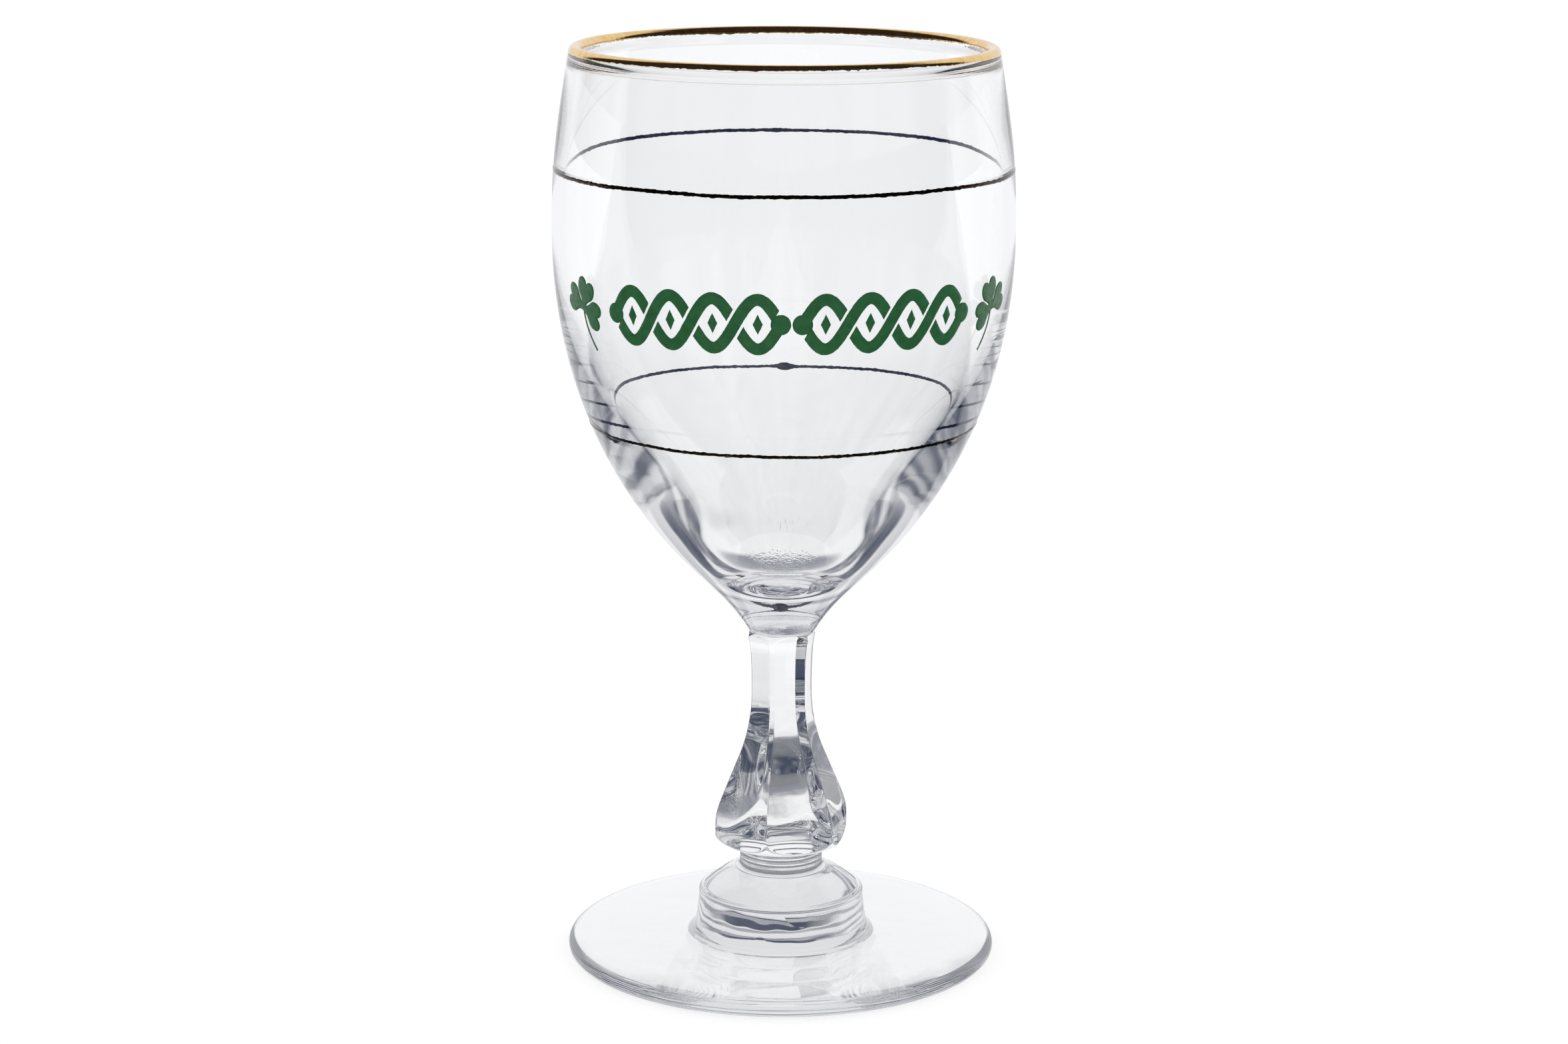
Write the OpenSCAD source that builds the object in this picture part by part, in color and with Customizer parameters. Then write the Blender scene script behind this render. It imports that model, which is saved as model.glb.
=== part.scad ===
// Stemmed glass for hot coffee drinks: tulip bowl, six-sided stem and collared foot,
// with a gilded lip, two fine gold lines and a green print round the front.
// Millimetres, +Z up, origin at the centre of the foot's underside.
// The front of the glass faces -Y.

/* [Foot] */
// Radius of the foot at its widest
foot_r = 35.8; // [30:0.1:42]
// Height of the foot's rounded edge
foot_edge_h = 2.6; // [2:0.1:3.4]
// Rise of the foot's top from its edge to the collar
foot_rise = 0.7; // [0:0.1:1.2]
// Radius of the drum-shaped collar on the foot
collar_r = 13.8; // [12.4:0.1:15.4]
// Height of the collar's top edge above the table
collar_h = 10.9; // [8:0.1:12]
// Radius at which the collar springs from the foot's top
collar_foot_r = 16; // [15.4:0.1:20]
// Rounding of the collar's top edge
collar_round = 0.8; // [0.2:0.1:1.5]
// Rise of the sloping cap above the collar's top edge
cap_rise = 3.5; // [2:0.1:6]
// Radius of the cap's top, where the stem is fused on
foot_joint_r = 7.7; // [7.4:0.1:9]

/* [Stem] */
// Height of the stem between the foot's cap and the bowl
stem_h = 40.8; // [36:0.1:60]
// Radius of the round neck at the stem's lower end
neck_r = 6.9; // [5.5:0.1:7.3]
// Height of the neck below the bell
neck_h = 3.8; // [3.2:0.1:6]
// Depth of the fine rings cut round the neck
ring_d = 0.15; // [0.1:0.05:0.5]
// Height of each fine ring
ring_w = 0.5; // [0.3:0.05:0.6]
// Distance from one fine ring to the next
ring_pitch = 0.9; // [0.7:0.05:1]
// Distance from the axis to a flat at the bell
bell_flat = 10.1; // [9.4:0.05:12]
// Height of the rounded underside of the bell
bell_under_h = 2.8; // [1.5:0.1:4]
// Height of the bell's upright skirt
bell_skirt_h = 3.7; // [3:0.1:5]
// Height of the bell's rounded shoulder above the skirt
shoulder_h = 5.3; // [4:0.1:7]
// Distance from the axis to a flat where the shoulder meets the straight flank
flank_flat = 9; // [8.4:0.05:9.4]
// Height of the bell's straight flank
flank_h = 7; // [4:0.1:9]
// Lean of the flank from upright, in degrees
flank_lean = 20.5; // [16:0.5:22]
// Distance from the axis to a flat at the waist
waist_flat = 4.52; // [3.8:0.02:4.8]
// Height of the waist above the flank
waist_rise = 10.8; // [8:0.1:12]
// Turn of the six flats about the axis
flats_turn = 47.5; // [0:0.5:60]

/* [Bowl] */
// Height of the bowl from the stem to the lip
bowl_h = 96.8; // [92:0.1:110]
// Radius of the bowl's lower end, where it is fused to the stem
bowl_joint_r = 5.4; // [4.8:0.1:6]
// Radius of the bowl where its lower flare meets its wall
flare_r = 21.5; // [17:0.1:25]
// Height of that place above the stem
flare_h = 18.2; // [15:0.1:22]
// Radius of the bowl at its belly
belly_r = 37.6; // [36.4:0.1:42]
// Height of the belly above the stem
belly_h = 66.9; // [62:0.1:70]
// Outer radius of the bowl at its lip
rim_r = 34.7; // [32:0.1:35.6]
// Radius of the rounded lip
lip_r = 1.1; // [0.9:0.05:1.4]
// Thickness of the wall below the lip
rim_wall = 1.3; // [0.8:0.05:1.6]
// Thickness of the wall at the belly
belly_wall = 1.9; // [1.4:0.1:3]
// Thickness of the wall at the flare
flare_wall = 5.4; // [3:0.1:7]
// Thickness of the glass under the inside of the bowl
floor_t = 10; // [6:0.1:12]

/* [Gold] */
// Thickness of the gold film
gold_t = 0.1; // [0.05:0.01:0.2]
// Height of the upper gold line above the stem
upper_line_h = 77.2; // [74:0.1:84]
// Width of the upper gold line
upper_line_w = 0.6; // [0.3:0.05:2]
// Height of the lower gold line above the stem
lower_line_h = 35.8; // [25:0.1:44]
// Width of the lower gold line
lower_line_w = 0.45; // [0.3:0.05:2]

/* [Print] */
// Thickness of the green enamel
enamel_t = 0.12; // [0.05:0.01:0.2]
// Turn of the whole print about the axis
print_turn = 2; // [-20:0.5:20]
// Height of the middle of the plaited borders above the stem
border_h = 57.6; // [50:0.1:64]
// Length of one plaited border round the bowl
border_len = 28.8; // [18:0.1:30]
// Gap between the two plaited borders
border_gap = 3.4; // [2:0.1:8]
// Swing of a plaited strand to either side
strand_swing = 3.9; // [2.5:0.1:4.5]
// Width of a plaited strand
strand_w = 1.9; // [1:0.1:2.2]
// Gap beside a strand where it passes over the other one
strand_gap = 0.4; // [0.2:0.05:0.8]
// Size of the lozenge inside each loop of the plait
lozenge_w = 1.6; // [0.8:0.1:2]
// Distance round the bowl from a border's end to the middle of its shamrock
shamrock_gap = 8.9; // [8:0.1:14]
// Height of the shamrock's middle above the stem
shamrock_h = 57.3; // [52:0.1:62]
// Length of a shamrock leaf
leaf_len = 4.9; // [3:0.1:6]
// Width of a shamrock leaf
leaf_w = 4.7; // [3:0.1:6]
// Width of the shamrock's stalk
stalk_w = 0.4; // [0.3:0.05:1]
// Length of the shamrock's stalk
stalk_len = 7.4; // [4:0.1:9]
// Tilt of the shamrock towards the middle of the print
shamrock_tilt = 21; // [0:1:45]

/* [Hidden] */

$fn = 96;
curve_steps = 10;
arc_steps = 8;
// Overrun of a cut past the surface that it leaves through
over = 1;

glass_colour = [0.86, 0.89, 0.91, 0.45];
gold_colour = "goldenrod";
green_colour = "darkgreen";

// Heights of the joints
stem_z = collar_h + cap_rise;
bowl_z = stem_z + stem_h;
top_z = bowl_z + bowl_h;

// Pulls of the curves, as shares of the stretch that each one spans
flare_pull_share = 0.59;
shoulder_pull_share = 0.43;
wall_pull_share = 0.22;
belly_pull_share = 0.5;
upper_pull_share = 0.4;
shoulder_curve_share = 0.33;
flank_pull_share = 0.33;
waist_pull_share = 0.4;
top_pull_share = 0.16;
cap_bulge_share = 0.12;
// Pulls of the collar's side: inwards from where it springs, outwards and up at its foot
collar_shares = [0.35, 0.12, 0.25];
// Radius of the bell's blunted corners, as a share of the sharp corners' radius
bell_corner_share = 0.99;

// Directions of the bowl's wall, measured from level
shoulder_angle = 60;
flare_angle = 52;
rim_lean = 9.3;

// Half of a leaf's outline, as shares of its width and its length
leaf_side_shares = [[0.1, -0.1], [0.1, 0.42], [0.5, 0.3], [0.5, 0.7]];
leaf_lobe_shares = [[0.5, 0.7], [0.5, 1.04], [0.12, 1.1], [0, 0.83]];
// Turns of the three leaves from upright
leaf_turns = [-87, 0, 87];
// Middle line of the stalk, as shares of its length
stalk_shares = [[0, 0.05], [-0.12, -0.3], [-0.34, -0.5], [-0.66, -0.7]];
// Radius of the plait's end beads, as a share of a strand's width
bead_share = 0.75;

function polar(l, a) = l * [cos(a), sin(a)];
function cubic(a, b, c, d, t) =
    pow(1 - t, 3) * a + 3 * pow(1 - t, 2) * t * b + 3 * (1 - t) * t * t * c + pow(t, 3) * d;
function curve(a, b, c, d, n = curve_steps) = [for (i = [0 : n]) cubic(a, b, c, d, i / n)];
function arc(c, r, from, to, n = arc_steps) = [for (i = [0 : n]) c + polar(r, from + (to - from) * i / n)];
function reversed(p) = [for (i = [len(p) - 1 : -1 : 0]) p[i]];
function mirrored(p) = [for (q = reversed(p)) [-q[0], q[1]]];
function scaled(shares, w, l) = [for (q = shares) [q[0] * w, q[1] * l]];
function tail(p) = [for (i = [1 : len(p) - 1]) p[i]];
function unit(v) = v / norm(v);
// Direction of a line of points at one of them, turned a quarter to the left
function side_of(p, i) =
    let (d = unit(p[min(i + 1, len(p) - 1)] - p[max(i - 1, 0)])) [-d[1], d[0]];
function beside(p, d) = [for (i = [0 : len(p) - 1]) p[i] + d * side_of(p, i)];
function ribbon(p, w) = concat(beside(p, w / 2), reversed(beside(p, -w / 2)));

// Outside of the bowl, from the stem to the lip
flare_span = belly_h - flare_h;
upper_span = bowl_h - belly_h;
joint_pt = [bowl_joint_r, bowl_z];
flare_pt = [flare_r, bowl_z + flare_h];
belly_pt = [belly_r, bowl_z + belly_h];
lip_centre = [rim_r - lip_r, top_z - lip_r];
rim_pt = lip_centre + polar(lip_r, rim_lean);
outer_wall = concat(
    curve(joint_pt, joint_pt + polar(shoulder_pull_share * flare_h, shoulder_angle),
        flare_pt - polar(flare_pull_share * flare_h, flare_angle), flare_pt),
    tail(curve(flare_pt, flare_pt + polar(wall_pull_share * flare_span, flare_angle),
        belly_pt - [0, belly_pull_share * flare_span], belly_pt, 2 * curve_steps)),
    tail(curve(belly_pt, belly_pt + [0, upper_pull_share * upper_span],
        rim_pt - polar(upper_pull_share * upper_span, 90 + rim_lean), rim_pt)));

// Inside of the bowl, from its floor to the lip
lip_neck = 2 * lip_r;
floor_pt = [0, bowl_z + floor_t];
inner_flare_pt = flare_pt + polar(flare_wall, flare_angle + 90);
inner_belly_pt = belly_pt - [belly_wall, 0];
inner_rim_pt = rim_pt - [rim_wall, 0] - polar(lip_neck, 90 + rim_lean);
inner_lip_pt = lip_centre - [lip_r, 0];
inner_wall = concat(
    curve(floor_pt, floor_pt + [inner_flare_pt[0] / 2, 0],
        inner_flare_pt - polar(flare_wall, flare_angle), inner_flare_pt),
    tail(curve(inner_flare_pt, inner_flare_pt + polar(wall_pull_share * flare_span, flare_angle),
        inner_belly_pt - [0, belly_pull_share * flare_span], inner_belly_pt, 2 * curve_steps)),
    tail(curve(inner_belly_pt, inner_belly_pt + [0, upper_pull_share * upper_span],
        inner_rim_pt - polar(upper_pull_share * upper_span / 2, 90 + rim_lean), inner_rim_pt)),
    tail(curve(inner_rim_pt, inner_rim_pt + polar(lip_r / 2, 90 + rim_lean),
        inner_lip_pt - [0, lip_r / 2], inner_lip_pt, arc_steps / 2)));

// Radius of the bowl's outside at a height
wall_table = [for (q = outer_wall) [q[1], q[0]]];
function wall_r(z) = lookup(z, wall_table);
// Stretch of the bowl's outside between two heights
function wall_between(low, high) =
    concat([[wall_r(low), low]], [for (q = outer_wall) if (q[1] > low && q[1] < high) q],
        [[wall_r(high), high]]);

// Outline of a film of one thickness on the bowl's outside
module film_outline(low, high, t) {
    inside = wall_between(low, high);
    polygon(concat(inside, reversed([for (q = inside) q + [t, 0]])));
}

module film_ring(middle, w, t) {
    rotate_extrude() film_outline(middle - w / 2, middle + w / 2, t);
}

module foot() {
    color(glass_colour) rotate_extrude() polygon(foot_outline());
}

// Half section of the foot: edge, top, collar, sloping cap
function foot_outline() =
    let (edge_r = foot_edge_h / 2,
        edge_c = [foot_r - edge_r, edge_r],
        spring_pt = [collar_foot_r, foot_edge_h + foot_rise],
        flare = collar_foot_r - collar_r,
        side_h = collar_h - spring_pt[1],
        round_c = [collar_r - collar_round, collar_h - collar_round],
        cap_low = [round_c[0], collar_h],
        cap_top = [foot_joint_r, stem_z],
        cap_bulge = [0, cap_bulge_share * cap_rise])
    concat([[0, 0]], arc(edge_c, edge_r, -90, 90),
        curve(spring_pt, [collar_r + collar_shares[0] * flare, spring_pt[1]],
            [collar_r + collar_shares[1] * flare, spring_pt[1] + collar_shares[2] * side_h],
            round_c + [collar_round, 0]),
        tail(arc(round_c, collar_round, 0, 80)),
        tail(curve(cap_low, cap_low + (cap_top - cap_low) / 3 + cap_bulge,
            cap_top + (cap_low - cap_top) / 3 + cap_bulge, cap_top)),
        [[0, stem_z]]);

// Heights along the stem
bell_z = stem_z + neck_h;
skirt_z = bell_z + bell_skirt_h;
flank_z = skirt_z + shoulder_h;
waist_z = flank_z + flank_h + waist_rise;
bell_corner_r = bell_flat / cos(30) * bell_corner_share;

module stem() {
    color(glass_colour) intersection() {
        rotate_extrude() stem_round();
        six_flats();
    }
}

// Round part of the stem: ringed neck, underside of the bell, and room for the flats
module stem_round() {
    rings = 3;
    neck_foot = [foot_joint_r, stem_z];
    neck_top = [neck_r, bell_z - rings * ring_pitch];
    neck_flare = foot_joint_r - neck_r;
    neck_rise = neck_top[1] - stem_z;
    bell_side = bell_corner_r - neck_r;
    bell_centre = [neck_r, bell_z + bell_under_h];
    difference() {
        polygon(concat([[0, stem_z]],
            curve(neck_foot, neck_foot - [neck_flare / 2, 0],
                neck_top - [0, neck_rise / 2], neck_top),
            [for (q = arc([0, 0], bell_side, -90, 0))
                bell_centre + [q[0], q[1] * bell_under_h / bell_side]],
            [[bell_corner_r, waist_z], [bowl_joint_r, bowl_z], [0, bowl_z]]));
        for (i = [0 : rings - 1])
            translate([neck_r, bell_z - ring_w / 2 - i * ring_pitch]) ring_cut();
    }
}

module ring_cut() {
    polygon([[-ring_d, 0], [ring_d, ring_w], [ring_d, -ring_w]]);
}

// Column with six flats: three slabs crossed at 60 degrees
module six_flats() {
    intersection_for(i = [0 : 2])
        rotate([90, 0, flats_turn + i * 60])
            linear_extrude(height = 4 * bell_corner_r, center = true) flat_outline();
}

// Distance of the flats from the axis, up the stem
module flat_outline() {
    shoulder_pull = shoulder_curve_share * shoulder_h;
    flank_pull = flank_pull_share * waist_rise;
    up_flank = 90 + flank_lean;
    skirt_pt = [bell_flat, skirt_z];
    flank_pt = [flank_flat, flank_z];
    flank_top = flank_pt + flank_h * [-tan(flank_lean), 1];
    waist_pt = [waist_flat, waist_z];
    top_pt = [bowl_joint_r, bowl_z];
    top_span = bowl_z - waist_z;
    side = concat([[bell_flat, stem_z]],
        curve(skirt_pt, skirt_pt + [0, shoulder_pull],
            flank_pt - polar(shoulder_pull, up_flank), flank_pt),
        curve(flank_top, flank_top + polar(flank_pull, up_flank),
            waist_pt - [0, flank_pull], waist_pt),
        tail(curve(waist_pt, waist_pt + [0, waist_pull_share * top_span],
            top_pt - polar(top_pull_share * top_span, shoulder_angle), top_pt)));
    polygon(concat(side, mirrored(side)));
}

module bowl() {
    color(glass_colour) rotate_extrude()
        polygon(concat([[0, bowl_z]], outer_wall, tail(arc(lip_centre, lip_r, rim_lean, 180)),
            tail(reversed(inner_wall))));
}

// Film round the lip, from the outside over the top to the inside
module gold_rim() {
    inside = arc(lip_centre, lip_r, 0, 180, 2 * arc_steps);
    outside = arc(lip_centre, lip_r + gold_t, 0, 180, 2 * arc_steps);
    color(gold_colour) rotate_extrude() polygon(concat(inside, reversed(outside)));
}

module upper_gold_line() {
    color(gold_colour) film_ring(bowl_z + upper_line_h, upper_line_w, gold_t);
}

module lower_gold_line() {
    color(gold_colour) film_ring(bowl_z + lower_line_h, lower_line_w, gold_t);
}

// Enamel where a flat drawing, looked at from the front, lies on the bowl
module enamel(middle, reach) {
    intersection() {
        rotate_extrude() film_outline(bowl_z + middle - reach, bowl_z + middle + reach, enamel_t);
        for (i = [0 : $children - 1])
            rotate([90, 0, 0]) linear_extrude(height = belly_r + over)
                translate([0, bowl_z + middle]) children(i);
    }
}

// Place on the flat drawing of a point at a length round the belly
function wrapped(q) = [belly_r * sin(q[0] / belly_r * 180 / PI), q[1]];

loops = 4;
loop_len = border_len / loops;
strand_steps = 10;
// Middle line of a plaited strand that starts upwards or downwards
function strand(sign) =
    [for (i = [0 : loops * strand_steps])
        [loop_len * i / strand_steps, sign * strand_swing * sin(180 * i / strand_steps)]];

module strand_band(sign, w, start) {
    polygon([for (q = ribbon(strand(sign), w)) wrapped(q + [start, 0])]);
}

// Part of a border within half a loop of one crossing
module near_crossing(i, start) {
    left = wrapped([start + (i - 0.5) * loop_len, 0])[0];
    right = wrapped([start + (i + 0.5) * loop_len, 0])[0];
    translate([left, -strand_swing]) square([right - left, 2 * strand_swing]);
}

// One strand, cut away beside the other where it passes under
module woven_strand(sign, first, start) {
    difference() {
        strand_band(sign, strand_w, start);
        for (i = [first : 2 : loops - 1])
            intersection() {
                strand_band(-sign, strand_w + 2 * strand_gap, start);
                near_crossing(i, start);
            }
    }
}

// Round bead where the two strands meet at an end
module end_bead(place, start) {
    bead_r = strand_w * bead_share;
    polygon([for (q = arc([place + start, 0], bead_r, 0, 360, 2 * arc_steps)) wrapped(q)]);
}

module lozenge(place, start) {
    corners = [[0, lozenge_w], [lozenge_w, 0], [0, -lozenge_w], [-lozenge_w, 0]];
    polygon([for (q = corners) wrapped([place + start + q[0] / 2, q[1]])]);
}

module border(start) {
    color(green_colour) rotate(print_turn) enamel(border_h, strand_swing + strand_w) {
        woven_strand(1, 1, start);
        woven_strand(-1, 2, start);
        for (i = [0 : loops - 1]) lozenge((i + 0.5) * loop_len, start);
        end_bead(0, start);
        end_bead(border_len, start);
    }
}

module left_border() {
    border(-border_gap / 2 - border_len);
}

module right_border() {
    border(border_gap / 2);
}

module leaf() {
    half = concat(
        curve(leaf_side_shares[0], leaf_side_shares[1], leaf_side_shares[2], leaf_side_shares[3]),
        tail(curve(leaf_lobe_shares[0], leaf_lobe_shares[1], leaf_lobe_shares[2],
            leaf_lobe_shares[3])));
    side = scaled(half, leaf_w, leaf_len);
    polygon(concat(side, tail(mirrored(side))));
}

module stalk() {
    line = scaled(stalk_shares, stalk_len, stalk_len);
    polygon(ribbon(curve(line[0], line[1], line[2], line[3]), stalk_w));
}

// Drawing turned towards the middle of the print, on either side of it
module tilted(side) {
    mirror([(1 - side) / 2, 0, 0]) rotate(shamrock_tilt) children();
}

// Angle between the middle of the print and a shamrock
shamrock_angle = (border_gap / 2 + border_len + shamrock_gap) / belly_r * 180 / PI;

module shamrock(side) {
    color(green_colour) rotate(print_turn + side * shamrock_angle)
        enamel(shamrock_h, leaf_len + stalk_len) {
            tilted(side) rotate(leaf_turns[0]) leaf();
            tilted(side) rotate(leaf_turns[1]) leaf();
            tilted(side) rotate(leaf_turns[2]) leaf();
            tilted(side) stalk();
        }
}

module left_shamrock() {
    shamrock(-1);
}

module right_shamrock() {
    shamrock(1);
}

foot();
stem();
bowl();
gold_rim();
upper_gold_line();
lower_gold_line();
left_border();
right_border();
left_shamrock();
right_shamrock();
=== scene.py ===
# Stemmed glass for hot coffee drinks: clear glass, fired gold and green enamel
import math

import bpy
import numpy as np
from mathutils import Matrix, Vector
from mathutils.geometry import delaunay_2d_cdt


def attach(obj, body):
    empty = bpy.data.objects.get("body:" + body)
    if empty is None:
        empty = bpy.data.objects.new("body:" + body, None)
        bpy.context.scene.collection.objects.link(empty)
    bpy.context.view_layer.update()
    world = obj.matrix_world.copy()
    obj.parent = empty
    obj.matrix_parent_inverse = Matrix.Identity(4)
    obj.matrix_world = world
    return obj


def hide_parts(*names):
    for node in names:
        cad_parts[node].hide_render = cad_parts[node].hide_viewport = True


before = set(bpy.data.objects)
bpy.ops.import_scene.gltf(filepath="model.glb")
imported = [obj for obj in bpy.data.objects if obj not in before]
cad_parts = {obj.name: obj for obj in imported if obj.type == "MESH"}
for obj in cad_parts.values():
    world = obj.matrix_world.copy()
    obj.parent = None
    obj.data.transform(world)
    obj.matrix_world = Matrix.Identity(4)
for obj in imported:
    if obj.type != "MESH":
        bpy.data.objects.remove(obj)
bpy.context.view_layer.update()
scene = bpy.context.scene
mm = 0.001
up = np.array([0, 1.0])  # in a half section


def polar(length, degrees):
    return np.array([math.cos(math.radians(degrees)), math.sin(math.radians(degrees))]) * length


def curve(a, b, c, d, steps=24):
    a, b, c, d = (np.asarray(q, float) for q in (a, b, c, d))
    t = np.linspace(0, 1, steps + 1)[:, None]
    return (1 - t) ** 3 * a + 3 * (1 - t) ** 2 * t * b + 3 * (1 - t) * t ** 2 * c + t ** 3 * d


def arc(centre, radius, start, end, steps=16):
    return np.array([centre + polar(radius, a) for a in np.linspace(start, end, steps + 1)])


def joined(*runs):
    # end to end, without the points where two runs meet
    points = [np.asarray(runs[0], float).reshape(-1, 2)]
    for run in runs[1:]:
        run = np.asarray(run, float).reshape(-1, 2)
        if np.allclose(points[-1][-1], run[0], atol=1e-6):
            run = run[1:]
        points.append(run)
    return np.concatenate(points)


def newTree(name, kind, inputs, outputs):
    # gives the tree and the sockets of its two ends
    tree = bpy.data.node_groups.new(name, kind)
    for socketName, socketType, default in inputs:
        socket = tree.interface.new_socket(socketName, in_out="INPUT", socket_type="NodeSocket" + socketType)
        if default is not None:
            socket.default_value = default
    for socketName, socketType in outputs:
        tree.interface.new_socket(socketName, in_out="OUTPUT", socket_type="NodeSocket" + socketType)
    return tree, tree.nodes.new("NodeGroupInput").outputs, tree.nodes.new("NodeGroupOutput").inputs


def feed(tree, node, values):
    # values go to inputs by name or place: a socket is linked, anything else is set
    for key, value in values.items():
        if isinstance(value, bpy.types.NodeSocket):
            tree.links.new(value, node.inputs[key])
        else:
            node.inputs[key].default_value = value


def addNode(tree, kind, values=None, **settings):
    node = tree.nodes.new(kind)
    for key, value in settings.items():
        setattr(node, key, value)
    feed(tree, node, values or {})
    return node


def calc(tree, operation, *values):
    return addNode(tree, "ShaderNodeMath", dict(enumerate(values)), operation=operation).outputs[0]


def product(tree, whole, *shares):
    for share in shares:
        whole = calc(tree, "MULTIPLY", whole, share)
    return whole


def vectorCalc(tree, operation, *values):
    return addNode(tree, "ShaderNodeVectorMath", dict(enumerate(values)), operation=operation).outputs[0]


def scaled(tree, way, factor):
    return addNode(tree, "ShaderNodeVectorMath", {0: way, "Scale": factor}, operation="SCALE").outputs[0]


def vector(tree, x=0.0, y=0.0, z=0.0):
    return addNode(tree, "ShaderNodeCombineXYZ", {0: x, 1: y, 2: z}).outputs[0]


def parts(tree, place):
    return addNode(tree, "ShaderNodeSeparateXYZ", {0: place}).outputs


def named(tree, name, kind="FLOAT"):
    return addNode(tree, "GeometryNodeInputNamedAttribute", {"Name": name}, data_type=kind).outputs[0]


turning = {"flats": 6, "fineDetail": 3.0, "slowScale": 2.2, "slowDetail": 1.5, "joinSharpness": 500.0,
           "weld": 2e-7, "wholeJoint": 0.99}  # weld in metres


def turnedTree():
    # turns a half section about the axis. The section's points carry: flat, the distance of the flats;
    # push, the way that an uneven edge moves, and side, which edge it is; and joint, ripple, wavy and
    # under, which tell the materials apart
    tree, given, result = newTree("turned", "GeometryNodeTree", [
        ("Geometry", "Geometry", None), ("Segments", "Int", 360), ("Flats Turn", "Float", 0.0),
        ("Edge Softness", "Float", 0.0), ("Ragged", "Float", 0.0), ("Ragged Detail", "Float", 40.0),
        ("Wander", "Float", 0.0), ("Lift", "Float", 0.0), ("Seed", "Float", 0.0), ("Join", "Float", 0.0),
        ("Join Turn", "Float", 1.6), ("Material", "Material", None), ("Joint Material", "Material", None)],
        [("Geometry", "Geometry")])
    section = given["Geometry"]
    rows = addNode(tree, "GeometryNodeAttributeDomainSize", {"Geometry": section}).outputs["Point Count"]
    columns = calc(tree, "ADD", given["Segments"], 1.0)
    grid = addNode(tree, "GeometryNodeMeshGrid", {"Vertices X": columns, "Vertices Y": rows})
    index = addNode(tree, "GeometryNodeInputIndex").outputs[0]
    row = calc(tree, "FLOORED_MODULO", index, rows)
    column = calc(tree, "FLOOR", calc(tree, "DIVIDE", index, rows))

    def onSection(value, kind="FLOAT"):
        return addNode(tree, "GeometryNodeSampleIndex", {"Geometry": section, "Value": value, "Index": row},
                       data_type=kind).outputs[0]

    place = onSection(addNode(tree, "GeometryNodeInputPosition").outputs[0], "FLOAT_VECTOR")
    push = onSection(named(tree, "push", "FLOAT_VECTOR"), "FLOAT_VECTOR")
    side = onSection(named(tree, "side"))
    angle = product(tree, calc(tree, "DIVIDE", column, given["Segments"]), 2 * math.pi)
    cosine, sine = calc(tree, "COSINE", angle), calc(tree, "SINE", angle)
    around = vector(tree, cosine, sine, calc(tree, "ADD", given["Seed"], side))
    fine = addNode(tree, "ShaderNodeTexNoise", {
        "Vector": around, "Scale": given["Ragged Detail"], "Detail": turning["fineDetail"]}).outputs[0]
    level = vector(tree, cosine, sine, given["Seed"])
    slow = addNode(tree, "ShaderNodeTexNoise", {
        "Vector": level, "Scale": turning["slowScale"], "Detail": turning["slowDetail"]}).outputs[0]
    offJoin = calc(tree, "SUBTRACT", angle, given["Join Turn"])
    offJoin = calc(tree, "WRAP", offJoin, math.pi, -math.pi)
    joinBump = calc(tree, "EXPONENT", product(tree, offJoin, offJoin, -turning["joinSharpness"]))
    drift = product(tree, calc(tree, "SUBTRACT", fine, 0.5), given["Ragged"])
    drift = calc(tree, "MULTIPLY_ADD", calc(tree, "SUBTRACT", slow, 0.5), given["Wander"], drift)
    lowEdge = calc(tree, "MULTIPLY_ADD", side, -0.5, 0.5)
    frontBack = product(tree, calc(tree, "ABSOLUTE", sine), lowEdge)
    drift = calc(tree, "MULTIPLY_ADD", frontBack, given["Lift"], drift)
    drift = calc(tree, "MULTIPLY_ADD", product(tree, joinBump, side), given["Join"], drift)
    out, _, height = parts(tree, vectorCalc(tree, "ADD", place, scaled(tree, push, drift)))
    offFlat = calc(tree, "WRAP", calc(tree, "SUBTRACT", angle, given["Flats Turn"]),
                   math.pi / turning["flats"], -math.pi / turning["flats"])
    flatRadius = calc(tree, "DIVIDE", onSection(named(tree, "flat")), calc(tree, "COSINE", offFlat))
    radius = calc(tree, "SMOOTH_MIN", out, flatRadius, given["Edge Softness"])
    moved = vector(tree, product(tree, radius, cosine), product(tree, radius, sine), height)
    shape = addNode(tree, "GeometryNodeSetPosition", {
        "Geometry": grid.outputs["Mesh"], "Position": moved}).outputs[0]
    for name in ("joint", "ripple", "wavy", "under"):
        shape = addNode(tree, "GeometryNodeStoreNamedAttribute", {
            "Geometry": shape, "Name": name, "Value": onSection(named(tree, name))}).outputs[0]
    closed = addNode(tree, "GeometryNodeMergeByDistance", {"Geometry": shape, "Distance": turning["weld"]})
    shaded = addNode(tree, "GeometryNodeSetShadeSmooth", {"Geometry": closed.outputs[0]})
    real = addNode(tree, "GeometryNodeRealizeInstances", {"Geometry": shaded.outputs[0]})
    painted = addNode(tree, "GeometryNodeSetMaterial", {
        "Geometry": real.outputs[0], "Material": given["Material"]})
    onJoint = calc(tree, "GREATER_THAN", named(tree, "joint"), turning["wholeJoint"])
    fused = addNode(tree, "GeometryNodeSetMaterial", {
        "Geometry": painted.outputs[0], "Selection": onJoint, "Material": given["Joint Material"]})
    tree.links.new(fused.outputs[0], result[0])
    return tree


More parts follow.
